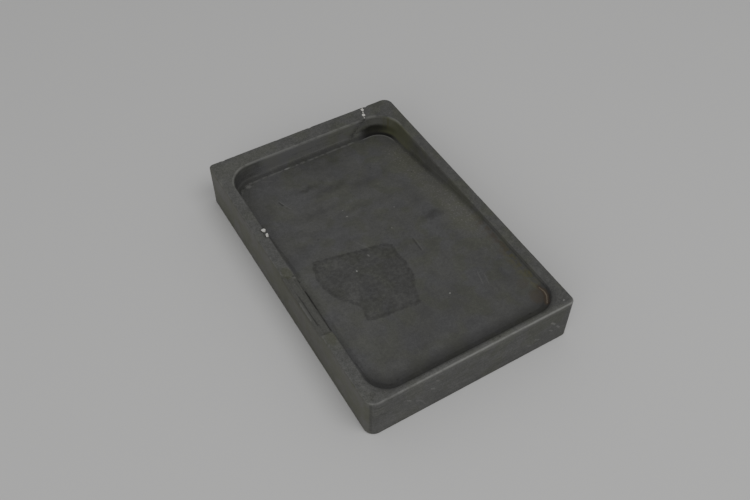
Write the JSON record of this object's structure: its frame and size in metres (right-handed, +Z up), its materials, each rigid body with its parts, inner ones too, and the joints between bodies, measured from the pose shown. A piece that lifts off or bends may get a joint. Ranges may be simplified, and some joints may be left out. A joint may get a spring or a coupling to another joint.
{
  "type": "inkstone",
  "caption": "Rectangular slate inkstone with a rubbing land that slopes to a deep ink pool, and white filler in a cracked rim.",
  "frame": {"origin": "middle of the flat base, on the surface that the stone rests on", "axes": "+Z up out of the recess, +Y along the stone from the shallow rubbing end to the deep pool, +X to the right across it"},
  "size_m": [0.1, 0.152, 0.0236],
  "materials": {
    "slate": "honed matt slate, worn edges, dried ink stains",
    "white_filler": "dry chalky white filler"
  },
  "bodies": {
    "root": {"stone_slab": "slate", "crack_seam_filler": "white_filler", "chip_plug_far": "white_filler", "chip_plug_near": "white_filler"}
  },
  "joints": []
}
